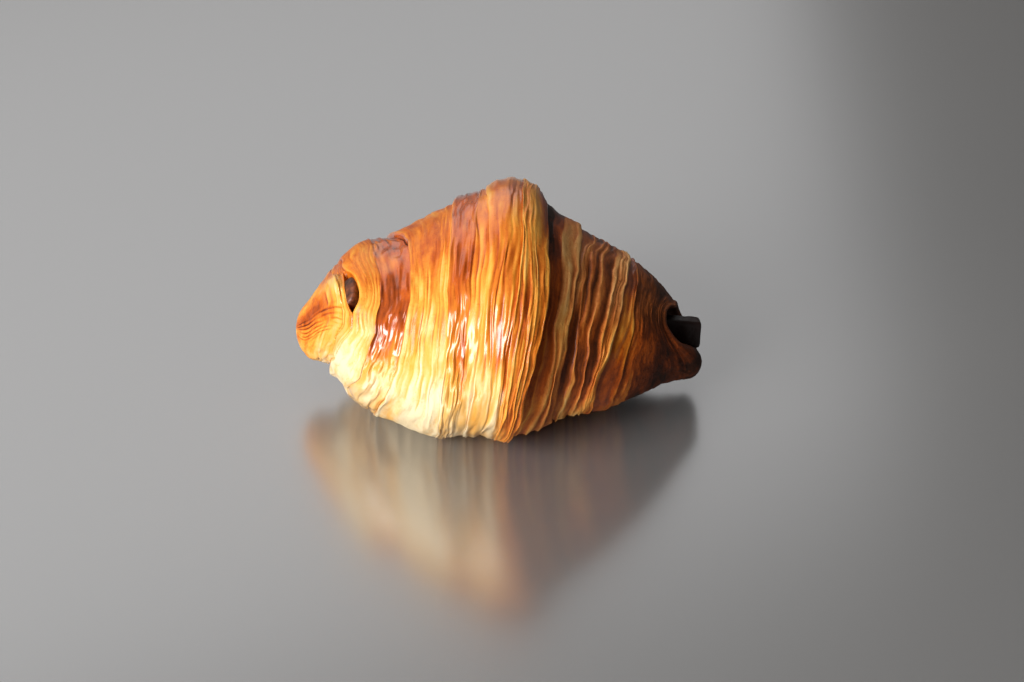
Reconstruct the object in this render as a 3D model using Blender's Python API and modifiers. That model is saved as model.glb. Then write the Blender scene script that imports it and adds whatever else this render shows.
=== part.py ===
"""A croissant with a bar of chocolate rolled into it, lying on its flat underside.

Metres, +Z up. The roll lies along X, +Y is behind it, and the origin is on the surface it lies on,
under the middle of its box. The pastry is one closed skin: a sphere's grid whose rings of latitude
become the rings of the roll, from the closed tip at -X to the inside of the open mouth at +X.
Turns round the roll are counted from the front (-Y), upwards over the top.
"""

import math

import bmesh
import bpy
import numpy as np
from mathutils import Matrix

MM = 0.001

# The smooth body under the wraps.
BODY = (  # along X, half width, half height, height of the middle
    (-66.0, 14.0, 12.6, 21.5),
    (-60.0, 13.6, 12.3, 22.4),
    (-55.0, 15.4, 14.0, 26.2),
    (-51.8, 18.0, 16.0, 27.8),
    (-45.3, 27.0, 22.8, 27.2),
    (-32.4, 33.8, 27.0, 26.9),
    (-19.4, 40.6, 32.1, 29.3),
    (-6.5, 43.8, 34.6, 33.3),
    (3.2, 46.2, 36.8, 34.8),
    (12.9, 42.6, 33.8, 33.8),
    (19.4, 37.2, 29.9, 32.0),
    (32.4, 31.0, 24.9, 27.5),
    (45.3, 22.7, 18.9, 24.5),
    (51.8, 17.3, 14.8, 21.6),
    (57.3, 12.8, 11.2, 17.4),
    (66.0, 9.0, 8.0, 11.5),
)
TIP = -64.4 * MM
TIP_ROUND = 13.0 * MM  # length over which the closed tip rounds off
END = 63.5 * MM
SAG = 9.0 * MM  # how far the tips lie behind the middle, as in a crescent
SAG_REACH = 66.0 * MM
THIN = 12.0 * MM  # where the body is thinner than this, the wraps are lower in proportion

# The wraps of the rolled dough. Each is a lip that stands over the one outside it.
TURNS = (0, 45, 90, 135, 180, 225, 270, 315)
WRAPS = (
    # where the crease under the lip runs along X, at each of TURNS; the way the lip faces;
    # its height; how soon that fades inwards and outwards; its share of the height at each of TURNS
    (
        (-50.0, -43.2, -48.0, -51.0, -51.5, -52.0, -53.0, -52.3),
        -1, 3.0, 9.0, 5.0, (0.5, 0.8, 0.35, 0.3, 0.7, 1.3, 1.7, 1.3),
    ),
    (
        (-32.4, -26.9, -27.5, -35.0, -37.0, -38.0, -39.0, -38.5),
        -1, 2.9, 12.0, 6.0, (0.7, 1.1, 0.75, 0.6, 0.8, 0.8, 0.5, 0.3),
    ),
    (
        (-16.6, -15.0, -14.6, -13.8, -15.0, -17.0, -19.0, -19.2),
        -1, 1.1, 8.0, 4.0, (0.6, 1.0, 1.1, 1.3, 1.1, 1.0, 0.6, 0.3),
    ),
    (
        (-7.2, -3.4, -3.2, -4.2, -6.0, -9.0, -11.5, -11.0),
        -1, 1.0, 8.0, 4.0, (0.7, 1.0, 0.9, 1.1, 1.0, 0.9, 0.6, 0.4),
    ),
    (
        (1.9, 5.8, 7.4, 7.0, 4.0, 1.0, -1.0, -1.2),
        -1, 0.7, 8.0, 3.0, (1.1, 1.0, 1.1, 0.7, 0.9, 1.0, 0.7, 0.7),
    ),
    (
        (8.3, 14.9, 14.4, 13.4, 10.0, 6.0, 3.6, 3.2),
        1, 5.0, 11.0, 5.0, (0.75, 1.0, 1.1, 1.0, 0.7, 0.5, 0.4, 0.45),
    ),
    (
        (18.0, 22.2, 25.0, 25.0, 21.5, 17.5, 15.5, 16.0),
        1, 1.6, 5.0, 3.0, (1.0, 1.1, 1.0, 0.9, 1.1, 1.0, 0.8, 0.8),
    ),
    (
        (30.0, 36.3, 40.2, 40.0, 36.0, 31.0, 28.0, 27.5),
        1, 1.6, 7.0, 4.0, (1.0, 1.0, 1.1, 1.0, 0.9, 1.0, 0.8, 0.7),
    ),
    (
        (36.8, 41.4, 42.8, 42.5, 39.5, 36.5, 34.5, 34.0),
        1, 0.8, 3.0, 3.0, (1.1, 1.0, 0.8, 0.9, 1.0, 0.9, 0.8, 0.8),
    ),
)
CREASES = [wrap[0][1] * MM for wrap in WRAPS]
RIDGE = 5  # the highest of the wraps, whose rim is rounded off on top
RIM_WIDTH = 2.2 * MM
RIM_DROP = 2.0 * MM
RIM_BEGINS = (55, 85)  # degrees round the roll, over which the rounding comes in
RIM_STOPS = (160, 120)
STEP = (  # up a lip, from foot to top: share of its height, how far it overhangs, how deep the crease cuts in
    (0.0, -0.5, 0.0, 0.0),
    (0.18, -0.5, 0.45, 0.9),
    (0.38, -0.25, 0.1, 0.35),
    (0.6, 0.1, -0.35, 0.0),
    (0.8, 0.38, -0.3, 0.0),
    (1.0, 0.5, 0.15, 0.0),
)
FULL_LIP = 2.0 * MM  # a lower lip than this overhangs less

# The slit beside the first crease, where the filling shows, and the swelling outside it.
SLIT_TURN = 61
SLIT_SPAN = 17
SLIT_WIDTH = 1.8 * MM
SLIT_LEAN = 1.4 * MM  # how much wider it is at its lower end, and narrower at its upper
SLIT_PUSH = 2.2 * MM  # how far it pushes the dough beside it
SLIT_REACH = 5.0 * MM  # how soon that fades
SLIT_DEPTH = 8.0 * MM
SLIT_EDGE = 0.7 * MM  # over which its outer side drops
SLIT_OPEN_TO = 0.45  # share of the lip that is drawn back
SLIT_SUNK_TO = 0.55  # share of the lip that is sunk
SWELL = 3.4 * MM
SWELL_FROM_CREASE = 5.0 * MM
SWELL_LENGTH = 2.4 * MM
SWELL_TURN = 68
SWELL_SPAN = 13

# The mouth at +X is cut slantwise: its lower lip is thick and reaches further than its thin upper one.
MOUTH = (  # turn, how far along X the lip reaches, half its thickness
    (0, 62.8, 3.9), (15, 60.5, 3.0), (30, 55.5, 1.8), (45, 52.0, 1.2), (60, 51.8, 1.1), (90, 55.4, 1.1),
    (120, 56.5, 1.1), (150, 57.5, 1.4), (180, 60.0, 2.0), (225, 63.0, 3.4),
    (270, 64.0, 5.0), (315, 64.0, 5.0),
)
MOUTH_HALF_WIDTH = 4.2 * MM  # of the hollow inside it, round the bar
MOUTH_HALF_HEIGHT = 5.8 * MM
MOUTH_BOTTOM = 45.0 * MM
MOUTH_FROM = 40.0 * MM
MOUTH_PULL = 1.3  # power with which the rings turn slantwise towards it
HOLLOW_ROUND = 4  # power with which its bottom rounds off
FUNNEL = 0.6  # share of the hollow's depth over which it narrows to the bar

# The bar of chocolate: the middle of each end, and its section.
BAR_LEFT = np.array((-46.2, -13.6, 39.2)) * MM
BAR_RIGHT = np.array((63.7, 0.5, 19.4)) * MM
BAR_WIDTH = 4.5 * MM
BAR_HEIGHT = 9.8 * MM
BAR_BEVEL = 0.7 * MM
GAP = 0.3 * MM
TUNNEL_PAST_MOUTH = 12.0 * MM
BELOW = (200 * MM, 160 * MM, 40 * MM)  # what is cut away, so that the underside is flat

# Turns of the columns of points: from each of these, so many up to the next; close together at the slit.
COLUMN_RUNS = ((-90, 16), (44, 10), (80, 22), (270, 0))
RING_SPACING = 3.3 * MM
STEP_RINGS = (6, 5, 3, 3, 3, 6, 4, 4, 3)  # up each wrap's lip
TIP_RINGS = 7
LIP_RINGS = 5
HOLLOW_RINGS = 5


def through(points, x):
    """A smooth curve through (place, value) points, in cubic pieces, read at x."""
    place, value = np.array(points).T
    slope = np.gradient(value, place)
    i = np.clip(np.searchsorted(place, x) - 1, 0, len(place) - 2)
    gap = place[i + 1] - place[i]
    t = np.clip((x - place[i]) / gap, 0, 1)
    start = (1 + 2 * t) * (1 - t) ** 2 * value[i] + t * (1 - t) ** 2 * gap * slope[i]
    end = t * t * (3 - 2 * t) * value[i + 1] - t * t * (1 - t) * gap * slope[i + 1]
    return start + end


def round_the_roll(points, turn):
    """A smooth closed curve through (degrees, value) points, read at turn in radians."""
    points = np.array(points, float)
    points = np.vstack([points[-2:] - [360, 0], points, points[:2] + [360, 0]])
    return through(points, np.degrees(turn) % 360)


def smooth(low, high, x):
    """0 below low, 1 above high, and an easy slope between."""
    t = np.clip((x - low) / (high - low), 0, 1)
    return t * t * (3 - 2 * t)


def columns():
    """The turn of each column of points, once round from underneath."""
    turns = []
    for (start, count), (stop, _) in zip(COLUMN_RUNS, COLUMN_RUNS[1:]):
        turns.extend(start + (stop - start) * i / count for i in range(count))
    return np.radians(turns)


def body(x):
    """Half width, half height, and the middle's Y and Z, of the smooth body at x."""
    table = np.array(BODY) * MM
    wide, high, middle = (through(table[:, (0, i)], x) for i in (1, 2, 3))
    rounding = np.clip(TIP + TIP_ROUND - x, 0, TIP_ROUND) / TIP_ROUND
    rounding = np.sqrt(1 - rounding**2)
    sag = -SAG * (1 - (x / SAG_REACH) ** 2)
    return wide * rounding, high * rounding, sag, middle


def bar_middle(x):
    t = (x - BAR_LEFT[0]) / (BAR_RIGHT[0] - BAR_LEFT[0])
    return tuple(BAR_LEFT[i] + t * (BAR_RIGHT[i] - BAR_LEFT[i]) for i in (1, 2))


def mouth_lip(turn):
    """How far along X the mouth's lip reaches at each turn, and half its thickness."""
    return tuple(
        round_the_roll([(m[0], m[i]) for m in MOUTH], turn) * MM for i in (1, 2)
    )


def hollow(x, turn, size):
    y, z = bar_middle(x)
    return np.stack(
        [
            x,
            y - size * MOUTH_HALF_WIDTH * np.cos(turn),
            z + size * MOUTH_HALF_HEIGHT * np.sin(turn),
        ],
        -1,
    )


def rings():
    """Where each ring lies along X at an eighth turn, and how far it is up each wrap's lip."""
    places = [
        TIP + TIP_ROUND * (1 - math.cos(math.pi / 2 * i / TIP_RINGS))
        for i in range(TIP_RINGS)
    ]
    up = [[0.0] * len(CREASES) for _ in places]
    stops = [TIP + TIP_ROUND, *CREASES, END]
    for k in range(len(stops) - 1):
        count = max(1, round((stops[k + 1] - stops[k]) / RING_SPACING))
        for i in range(1 if k else 0, count):
            places.append(stops[k] + (stops[k + 1] - stops[k]) * i / count)
            up.append([float(j < k) for j in range(len(CREASES))])
        if k < len(CREASES):
            for i in range(STEP_RINGS[k] + 1):
                part_way = i / STEP_RINGS[k]
                places.append(stops[k + 1])
                up.append(
                    [part_way if j == k else float(j < k) for j in range(len(CREASES))]
                )
    return np.array([*places, END]), np.array([*up, [1.0] * len(CREASES)])


def outside(place, up, turn):
    """The skin from the tip to the mouth, as [ring, turn, XYZ]."""
    marks = [TIP, *CREASES, END]
    runs = [round_the_roll(tuple(zip(TURNS, w[0])), turn) * MM for w in WRAPS]
    runs = np.array([np.full_like(turn, TIP), *runs, np.full_like(turn, END)])
    x = np.stack([np.interp(place, marks, runs[:, j]) for j in range(len(turn))], 1)
    place = place[:, None]
    reach, half = mouth_lip(turn)
    to_mouth = np.clip((place - MOUTH_FROM) / (END - MOUTH_FROM), 0, 1) ** MOUTH_PULL
    x = x + to_mouth * (reach - half - END)
    degrees = np.degrees(turn)
    out = np.zeros_like(x)
    for k, (_, way, high, inwards, outwards, share_at) in enumerate(WRAPS):
        there = round_the_roll(tuple(zip(TURNS, share_at)), turn)
        t = up[:, k : k + 1]
        t = 1 - t if way > 0 else t
        share, over, cut = (
            through([(s[0], s[i]) for s in STEP], t) for i in (1, 2, 3)
        )
        inside = (up[:, k : k + 1] > 0) & (up[:, k : k + 1] < 1)
        away = np.abs(place - CREASES[k])
        fade = np.exp(-away / (np.where(share < 0, outwards, inwards) * MM))
        steepness = ((body(x + 0.5 * MM)[0] - body(x - 0.5 * MM)[0]) / MM) ** 2
        small = np.minimum(there, 1) * min(1, high * MM / FULL_LIP) * MM * inside
        small = small / (1 + steepness)
        out = out + share * high * MM * there * fade - cut * small
        if k == RIDGE:
            rim = np.exp(-((away / RIM_WIDTH) ** 2)) * (share + 0.5)
            on_top = smooth(*RIM_BEGINS, degrees) * smooth(*RIM_STOPS, degrees)
            out = out - RIM_DROP * rim * on_top
        x = x - way * over * small
    away = place - CREASES[0]
    t = up[:, :1]
    above = (degrees - SLIT_TURN) / SLIT_SPAN
    slit = np.sqrt(np.clip(1 - above**2, 0, 1))
    drawn_back = np.clip(1 - t / SLIT_OPEN_TO, 0, 1)
    opened = np.where(away < 0, np.exp(away / SLIT_REACH), drawn_back)
    drop = np.exp(-((away / SLIT_EDGE) ** 2))
    sunk = np.where(away < 0, drop, np.clip(1 - (t / SLIT_SUNK_TO) ** 3, 0, 1))
    pushed = np.exp(-np.maximum(away, 0) / SLIT_REACH) * (away >= 0) * (1 - opened)
    x = x + (SLIT_PUSH * pushed - (SLIT_WIDTH - SLIT_LEAN * above) * opened) * slit**2
    out = out + SWELL * np.exp(
        -(((away + SWELL_FROM_CREASE) / SWELL_LENGTH) ** 2)
        - ((degrees - SWELL_TURN) / SWELL_SPAN) ** 2
    )
    wide, high, y, z = body(x)
    out = out * np.clip(np.minimum(wide, high) / THIN, 0, 1)
    out = out - SLIT_DEPTH * slit * sunk
    return np.stack(
        [x, y - (wide + out) * np.cos(turn), z + (high + out) * np.sin(turn)], -1
    )


def pastry_skin():
    turn = columns()
    skin = outside(*rings(), turn)
    reach, half = mouth_lip(turn)
    rim = skin[-1]
    inner = hollow(rim[:, 0], turn, 1.0)
    wall = np.linalg.norm(inner - rim, axis=1)
    inner = rim + (inner - rim) * np.minimum(1, 2 * half / wall)[:, None]
    more = []
    for i in range(1, LIP_RINGS + 1):
        t = math.pi * i / LIP_RINGS
        ring = rim + (inner - rim) * (1 - math.cos(t)) / 2
        ring[:, 0] = reach - half + half * math.sin(t)
        more.append(ring)
    for i in range(1, HOLLOW_RINGS + 1):
        t = i / HOLLOW_RINGS
        x = inner[:, 0] + (MOUTH_BOTTOM - inner[:, 0]) * t
        narrow = smooth(0, FUNNEL, t)
        ring = hollow(x, turn, math.sqrt(1 - t**HOLLOW_ROUND))
        ring[:, 1:] = inner[:, 1:] + (ring[:, 1:] - inner[:, 1:]) * narrow
        more.append(ring)
    return np.concatenate([skin, np.array(more)])


def as_object(name, bm, collection):
    mesh = bpy.data.meshes.new(name)
    bm.to_mesh(mesh)
    bm.free()
    obj = bpy.data.objects.new(name, mesh)
    collection.objects.link(obj)
    return obj


def painted(obj, colour, roughness):
    material = bpy.data.materials.new(obj.name)
    material.use_nodes = True
    shader = material.node_tree.nodes["Principled BSDF"]
    shader.inputs["Base Color"].default_value = (*colour, 1)
    shader.inputs["Roughness"].default_value = roughness
    obj.data.materials.append(material)
    return obj


def sphere_as(skin):
    """A sphere whose rings are moved to those of the skin, and whose poles close it."""
    rings_in, around = skin.shape[:2]
    bm = bmesh.new()
    bmesh.ops.create_uvsphere(
        bm, u_segments=around, v_segments=rings_in - 1, radius=1.0
    )
    for vert in bm.verts:
        ring = round(math.acos(max(-1, min(1, vert.co.z))) / math.pi * (rings_in - 1))
        turn = round(math.atan2(vert.co.y, vert.co.x) / math.tau * around) % around
        at = skin[ring].mean(0) if ring in (0, rings_in - 1) else skin[ring, turn]
        vert.co = at
    bmesh.ops.recalc_face_normals(bm, faces=bm.faces)
    for face in bm.faces:
        face.smooth = True
    return bm


def bar_box(name, collection, gap, past_mouth, centre):
    """The bar's bevelled box with upright ends: larger all round by gap, and longer at the mouth."""
    along = BAR_RIGHT - BAR_LEFT
    length = float(np.linalg.norm(along))
    forward = along / length
    sideways = np.array((-forward[1], forward[0], 0)) / math.hypot(*forward[:2])
    edges = Matrix.Identity(4)
    edges.col[0].xyz = forward * (length + 2 * gap + past_mouth)
    edges.col[1].xyz = sideways * (BAR_WIDTH + 2 * gap)
    edges.col[2].xyz = (0, 0, BAR_HEIGHT + 2 * gap)
    bm = bmesh.new()
    bmesh.ops.create_cube(bm, size=1.0, matrix=edges)
    obj = as_object(name, bm, collection)
    obj.location = (BAR_LEFT + BAR_RIGHT) / 2 + forward * past_mouth / 2 - centre
    bevel = obj.modifiers.new("worn_edges", "BEVEL")
    bevel.width = BAR_BEVEL + gap
    bevel.segments = 2
    return obj


def box_below(name, collection):
    bm = bmesh.new()
    bmesh.ops.create_cube(bm, size=1.0, matrix=Matrix.Diagonal((*BELOW, 1)))
    obj = as_object(name, bm, collection)
    obj.location.z = -BELOW[2] / 2
    return obj


def cut(obj, cutter):
    modifier = obj.modifiers.new(cutter.name, "BOOLEAN")
    modifier.operation = "DIFFERENCE"
    modifier.solver = "EXACT"
    modifier.object = cutter


for obj in list(bpy.data.objects):
    bpy.data.objects.remove(obj)

croissant = bpy.data.collections.new("chocolate_croissant")
cutters = bpy.data.collections.new("cutters")
for collection in (croissant, cutters):
    bpy.context.scene.collection.children.link(collection)
cutters.hide_render = True

skin = pastry_skin()
low, high = skin.reshape(-1, 3).min(0), skin.reshape(-1, 3).max(0)
centre = np.array(((low[0] + high[0]) / 2, (low[1] + high[1]) / 2, 0.0))

pastry = as_object("pastry", sphere_as(skin - centre), croissant)
painted(pastry, (0.62, 0.26, 0.06), 0.4)
bar = bar_box("chocolate_bar", croissant, 0.0, 0.0, centre)
painted(bar, (0.035, 0.014, 0.008), 0.35)
tunnel = bar_box("bar_tunnel", cutters, GAP, TUNNEL_PAST_MOUTH, centre)
for cutter in (tunnel, box_below("below_the_base", cutters)):
    cutter.hide_render = True
    cutter.display_type = "WIRE"
    cut(pastry, cutter)
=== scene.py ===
"""The looks of a croissant with a bar of chocolate rolled into it.

The pastry is one fine closed skin over the same form as its CAD solid: rings round the roll, from the
closed tip at -X to the inside of the open mouth at +X. Every thin layer of the dough has rings of its
own, so its edge stays crisp wherever it wanders. How brown and how glossy each place is goes with the
points, and the materials only add what is finer than that. Some of that brown is painted shade and
painted highlight, as the comments below say.

The form is in millimetres. Turns round the roll count from the front (-Y), upwards over the top, and
are in degrees in the tables. A fade is a pair of places or turns: there is none of it at the first, and
all of it at the second.
"""

import math

import bmesh
import bpy
import numpy as np
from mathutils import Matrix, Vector


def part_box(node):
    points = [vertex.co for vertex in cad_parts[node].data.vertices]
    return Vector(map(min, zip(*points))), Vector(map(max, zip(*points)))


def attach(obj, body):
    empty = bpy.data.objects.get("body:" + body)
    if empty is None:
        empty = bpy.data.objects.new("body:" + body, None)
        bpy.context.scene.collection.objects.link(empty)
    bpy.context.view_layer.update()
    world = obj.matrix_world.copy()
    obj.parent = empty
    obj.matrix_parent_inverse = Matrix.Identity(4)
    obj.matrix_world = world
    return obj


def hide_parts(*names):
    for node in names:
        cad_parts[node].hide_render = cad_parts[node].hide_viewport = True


MM = 0.001
UP = (0.0, 0.0, 1.0)

# The smooth body under the wraps.
BODY = (  # along X, half width, half height, height of the middle
    (-66.0, 14.0, 12.6, 21.5),
    (-60.0, 13.6, 12.3, 22.4),
    (-55.0, 15.4, 14.0, 26.2),
    (-51.8, 18.0, 16.0, 27.8),
    (-45.3, 27.0, 22.8, 27.2),
    (-32.4, 33.8, 27.0, 26.9),
    (-19.4, 40.6, 32.1, 29.3),
    (-6.5, 43.8, 34.6, 33.3),
    (3.2, 46.2, 36.8, 34.8),
    (12.9, 42.6, 33.8, 33.8),
    (19.4, 37.2, 29.9, 32.0),
    (32.4, 31.0, 24.9, 27.5),
    (45.3, 22.7, 18.9, 24.5),
    (51.8, 17.3, 14.8, 21.6),
    (57.3, 12.8, 11.2, 17.4),
    (66.0, 9.0, 8.0, 11.5),
)
TIP = -64.4
TIP_ROUND = 13.0  # length over which the closed tip rounds off
END = 63.5
SAG = 9.0  # how far the tips lie behind the middle, as in a crescent
SAG_REACH = 66.0
THIN = 12.0  # where the body is thinner than this, what stands out of it is lower

# The wraps of the rolled dough. Each is a lip that stands over the one outside it.
TURNS = (0, 45, 90, 135, 180, 225, 270, 315)
WRAPS = (
    # where the crease under the lip runs along X, at each of TURNS; the way the lip faces;
    # its height; how soon that fades inwards and outwards; its share of the height at each of TURNS
    (
        (-50.0, -43.2, -48.0, -51.0, -51.5, -52.0, -53.0, -52.3),
        -1, 3.0, 9.0, 5.0, (0.5, 0.8, 0.35, 0.3, 0.7, 1.3, 1.7, 1.3),
    ),
    (
        (-32.4, -26.9, -27.5, -35.0, -37.0, -38.0, -39.0, -38.5),
        -1, 2.9, 12.0, 6.0, (0.7, 1.1, 0.75, 0.6, 0.8, 0.8, 0.5, 0.3),
    ),
    (
        (-16.6, -15.0, -14.6, -13.8, -15.0, -17.0, -19.0, -19.2),
        -1, 1.1, 8.0, 4.0, (0.6, 1.0, 1.1, 1.3, 1.1, 1.0, 0.6, 0.3),
    ),
    (
        (-7.2, -3.4, -3.2, -4.2, -6.0, -9.0, -11.5, -11.0),
        -1, 1.0, 8.0, 4.0, (0.7, 1.0, 0.9, 1.1, 1.0, 0.9, 0.6, 0.4),
    ),
    (
        (1.9, 5.8, 7.4, 7.0, 4.0, 1.0, -1.0, -1.2),
        -1, 0.7, 8.0, 3.0, (1.1, 1.0, 1.1, 0.7, 0.9, 1.0, 0.7, 0.7),
    ),
    (
        (8.3, 14.9, 14.4, 13.4, 10.0, 6.0, 3.6, 3.2),
        1, 5.0, 11.0, 5.0, (0.75, 1.0, 1.1, 1.0, 0.7, 0.5, 0.4, 0.45),
    ),
    (
        (18.0, 22.2, 25.0, 25.0, 21.5, 17.5, 15.5, 16.0),
        1, 1.6, 5.0, 3.0, (1.0, 1.1, 1.0, 0.9, 1.1, 1.0, 0.8, 0.8),
    ),
    (
        (30.0, 36.3, 40.2, 40.0, 36.0, 31.0, 28.0, 27.5),
        1, 1.6, 7.0, 4.0, (1.0, 1.0, 1.1, 1.0, 0.9, 1.0, 0.8, 0.7),
    ),
    (
        (36.8, 41.4, 42.8, 42.5, 39.5, 36.5, 34.5, 34.0),
        1, 0.8, 3.0, 3.0, (1.1, 1.0, 0.8, 0.9, 1.0, 0.9, 0.8, 0.8),
    ),
)
CREASES = [wrap[0][1] for wrap in WRAPS]
RIDGE = 5  # the highest of the wraps, whose rim is rounded off on top
RIM_WIDTH = 2.2
RIM_DROP = 2.0
RIM_BEGINS = (55, 85)  # a fade
RIM_STOPS = (160, 120)
STEP = (  # up a lip, from foot to top: share of its height, how far it overhangs, how deep the crease cuts in
    (0.0, -0.5, 0.0, 0.0),
    (0.18, -0.5, 0.45, 0.9),
    (0.38, -0.25, 0.1, 0.35),
    (0.6, 0.1, -0.35, 0.0),
    (0.8, 0.38, -0.3, 0.0),
    (1.0, 0.5, 0.15, 0.0),
)
FULL_LIP = 2.0  # a lower lip than this overhangs less
STEP_RINGS = (16, 10, 7, 7, 6, 16, 8, 8, 6)  # up each wrap's lip
TIP_RINGS = 34

# What lies between the creases. A cut edge of dough shows its layers; the outer skin is one smooth layer.
ZONES = (
    # ends at X; layers, and rings in each; their height; how baked on top, in front and low down;
    # glossy; crinkled; height of the strands; dry
    (-43.2, 7, 5, 0.08, 0.54, 0.44, 0.18, 0.7, 0.9, 0.16, 0.0),
    (-36.0, 6, 6, 0.16, 0.58, 0.40, 0.06, 0.4, 0.3, 0.1, 0.0),
    (-26.9, 1, 34, 0.0, 0.62, 0.74, 0.12, 1.0, 1.8, 0.0, 0.0),
    (-15.0, 9, 6, 0.14, 0.56, 0.40, 0.02, 0.4, 0.8, 0.15, 0.0),
    (-6.8, 1, 30, 0.0, 0.66, 0.60, 0.18, 1.0, 2.0, 0.0, 0.0),
    (-3.4, 3, 5, 0.14, 0.53, 0.42, 0.06, 0.8, 1.2, 0.2, 0.0),
    (5.8, 6, 6, 0.16, 0.50, 0.54, 0.22, 0.85, 1.2, 0.3, 0.0),
    (14.9, 7, 8, 0.15, 0.38, 0.50, 0.50, 0.4, 1.2, 0.28, 0.1),
    # The valley past the ridge: its brown skin, made darkest on top as painted shade under the ridge's rim.
    (16.6, 1, 7, 0.0, 0.98, 0.68, 0.56, 0.1, 0.5, 0.0, 0.3),
    (18.6, 1, 8, 0.0, 0.80, 0.58, 0.46, 0.3, 0.6, 0.4, 0.1),
    (22.2, 3, 4, 0.24, 0.54, 0.55, 0.50, 0.2, 0.9, 0.45, 0.6),
    (25.0, 1, 15, 0.0, 0.68, 0.70, 0.52, 0.3, 0.8, 0.45, 0.5),
    (26.4, 1, 6, 0.36, 0.58, 0.58, 0.46, 0.2, 0.5, 0.3, 0.6),
    (28.6, 1, 8, 0.0, 0.70, 0.70, 0.52, 0.3, 0.8, 0.45, 0.5),
    (30.2, 1, 6, 0.36, 0.58, 0.59, 0.44, 0.2, 0.5, 0.3, 0.6),
    (32.4, 1, 8, 0.0, 0.72, 0.66, 0.48, 0.3, 0.8, 0.45, 0.5),
    (36.3, 4, 5, 0.20, 0.48, 0.52, 0.48, 0.1, 0.8, 0.3, 0.7),
    (40.0, 1, 13, 0.0, 0.76, 0.62, 0.52, 0.6, 0.9, 0.2, 0.2),
    (41.4, 1, 6, 0.30, 0.58, 0.62, 0.56, 0.4, 0.5, 0.1, 0.2),
    (46.0, 1, 14, 0.0, 0.72, 0.72, 0.58, 0.2, 0.8, 0.1, 0.6),
    # The end by the mouth: its own dark brown, made darker low down and on the lower lip as painted shade.
    (63.5, 1, 46, 0.0, 0.76, 0.78, 0.84, 0.0, 0.8, 0.1, 0.6),
)
LAYER_HEIGHT, BAKED_ABOVE, BAKED_FRONT, BAKED_BELOW, GLOSSY, CRINKLED, STRANDED, DRY = range(3, 11)
EDGE = (  # across a layer, from its edge: how far it stands out, as a share of its height
    (0.0, -0.5),
    (0.12, 0.3),
    (0.3, 0.5),
    (0.54, 0.3),
    (0.8, 0.02),
)
LAYERS_FACE_RIGHT_FROM = 9.0  # along X: left of it the layers' edges face -X
LINE_WANDER = 0.5  # how far a layer's edge strays, as a share of the layer's width
WIDEST_WANDER = 1.6
LEAST_GAP = 0.12  # where two edges run together
FREE_OF_CREASE = (0, 4)  # a fade, by how far from a crease a layer's edge is

# What is uneven. Each noise is a height, the noise's own seed, the length of its waves along X, and how many
# go round the roll.
NEXT = 3.0  # a step across a noise after which its values are new
LIP_WAVER = ((0.45, 10, 1, 21), (0.25, 11, 1, 55))
LIP_HEIGHTS = ((0.15, 25, 1, 23),)  # as a share of the height
LAYERS_WAVER = ((1.3, 14, 9, 9), (0.5, 15, 4, 24))
LAYER_WAVER = ((0.7, 12, 1, 13), (0.4, 13, 1, 34))  # each on its own
LUMPS = ((0.5, 21, 17, 7), (0.22, 22, 6, 19))
CRINKLE_BENDS = ((0.475, 27, 2, 30),)
LONG_CRINKLES = ((0.24, 23, 0.95, 36),)
SHORT_CRINKLES = ((0.08, 28, 0.55, 64), (0.10, 24, 2.3, 70))
SCALLOPS = ((0.55, 29, 1.9, 26),)  # along the bottom of the pale end
SCALLOPS_AT = ((-100, -60), (20, -15))  # fades in turn, and along X
SCALLOPS_ALONG = ((-56, -48), (-8, -20))

# How strongly the layers stand out: in general, along each of them, and from one to the next. The places
# where they do so less are fades.
LAYER_STRENGTH = 0.6
LAYER_STRENGTHS = ((1.2, 20, 1, 19), (0.7, 26, 1, 47))
STRONGEST = 1.7
FROM_LAYER_TO_LAYER = (0.45, 1.35)
LAYER_POWER = 1.3
UNDERNEATH = 0.25  # what is left of them there
UP_FROM_UNDERNEATH = (-25, 40)
ON_TOP = (50, 80)
ON_RIDGE = ((-4, 2), (18, 14))
WORN_ON_RIDGE = 0.5

STRAND_SPACING = 1.6
STRAND_BENDS = ((0.6, 61, 5, 7),)  # in strands
STRANDS = ((1, 60, 1, 6),)
STRAND_STEEPNESS = 3.2
STRANDS_IN_FRONT = (75, 30)  # fades
STRANDS_BEHIND = (100, 140)
PAST_RIDGE = (14, 20)  # where they go all the way round

FAN_SPACING = 7.0  # degrees between the creases on the closed tip
FAN_TO_TURN = 47  # where they meet
FAN_DEPTH = 0.5
FAN_NARROWS = (-60, -45)  # fades
FAN_NARROWED = 0.7
FAN_ALONG = ((TIP + 0.1, TIP + 1.5), (-45, -49))
FAN_DOWN = ((-8, 0), (44, 36))  # from the turn where they meet
FAN_BENDS = ((3.5, 50, 3, 20),)  # in degrees
FAN_STRENGTH = 0.8
FAN_STRENGTHS = ((0.9, 51, 2.2, 60),)
FAN_SHARPNESS = 1.5

# The slit beside the first crease, where the filling shows, and the swelling outside it.
SLIT_TURN = 61
SLIT_SPAN = 17
SLIT_WIDTH = 1.8
SLIT_LEAN = 1.4  # how much wider it is at its lower end, and narrower at its upper
SLIT_PUSH = 2.2  # how far it pushes the layers beside it
SLIT_REACH = 5.0  # how soon that fades
SLIT_DEPTH = 8.0
SLIT_EDGE = 0.7  # over which its outer side drops
SLIT_OPEN_TO = 0.45  # share of the lip that is drawn back
SLIT_SUNK_TO = 0.55  # share of the lip that is sunk
SWELL = 3.4
SWELL_AT = CREASES[0] - 5.0
SWELLING = (SWELL_AT, 2.4, 67, 13)  # a spot: along X, half its length, the turn, half its width
SWELL_CRINKLED = 2.2
SWELL_CRINKLES = (SWELL_AT, 4.5, 65, 15)

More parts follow.
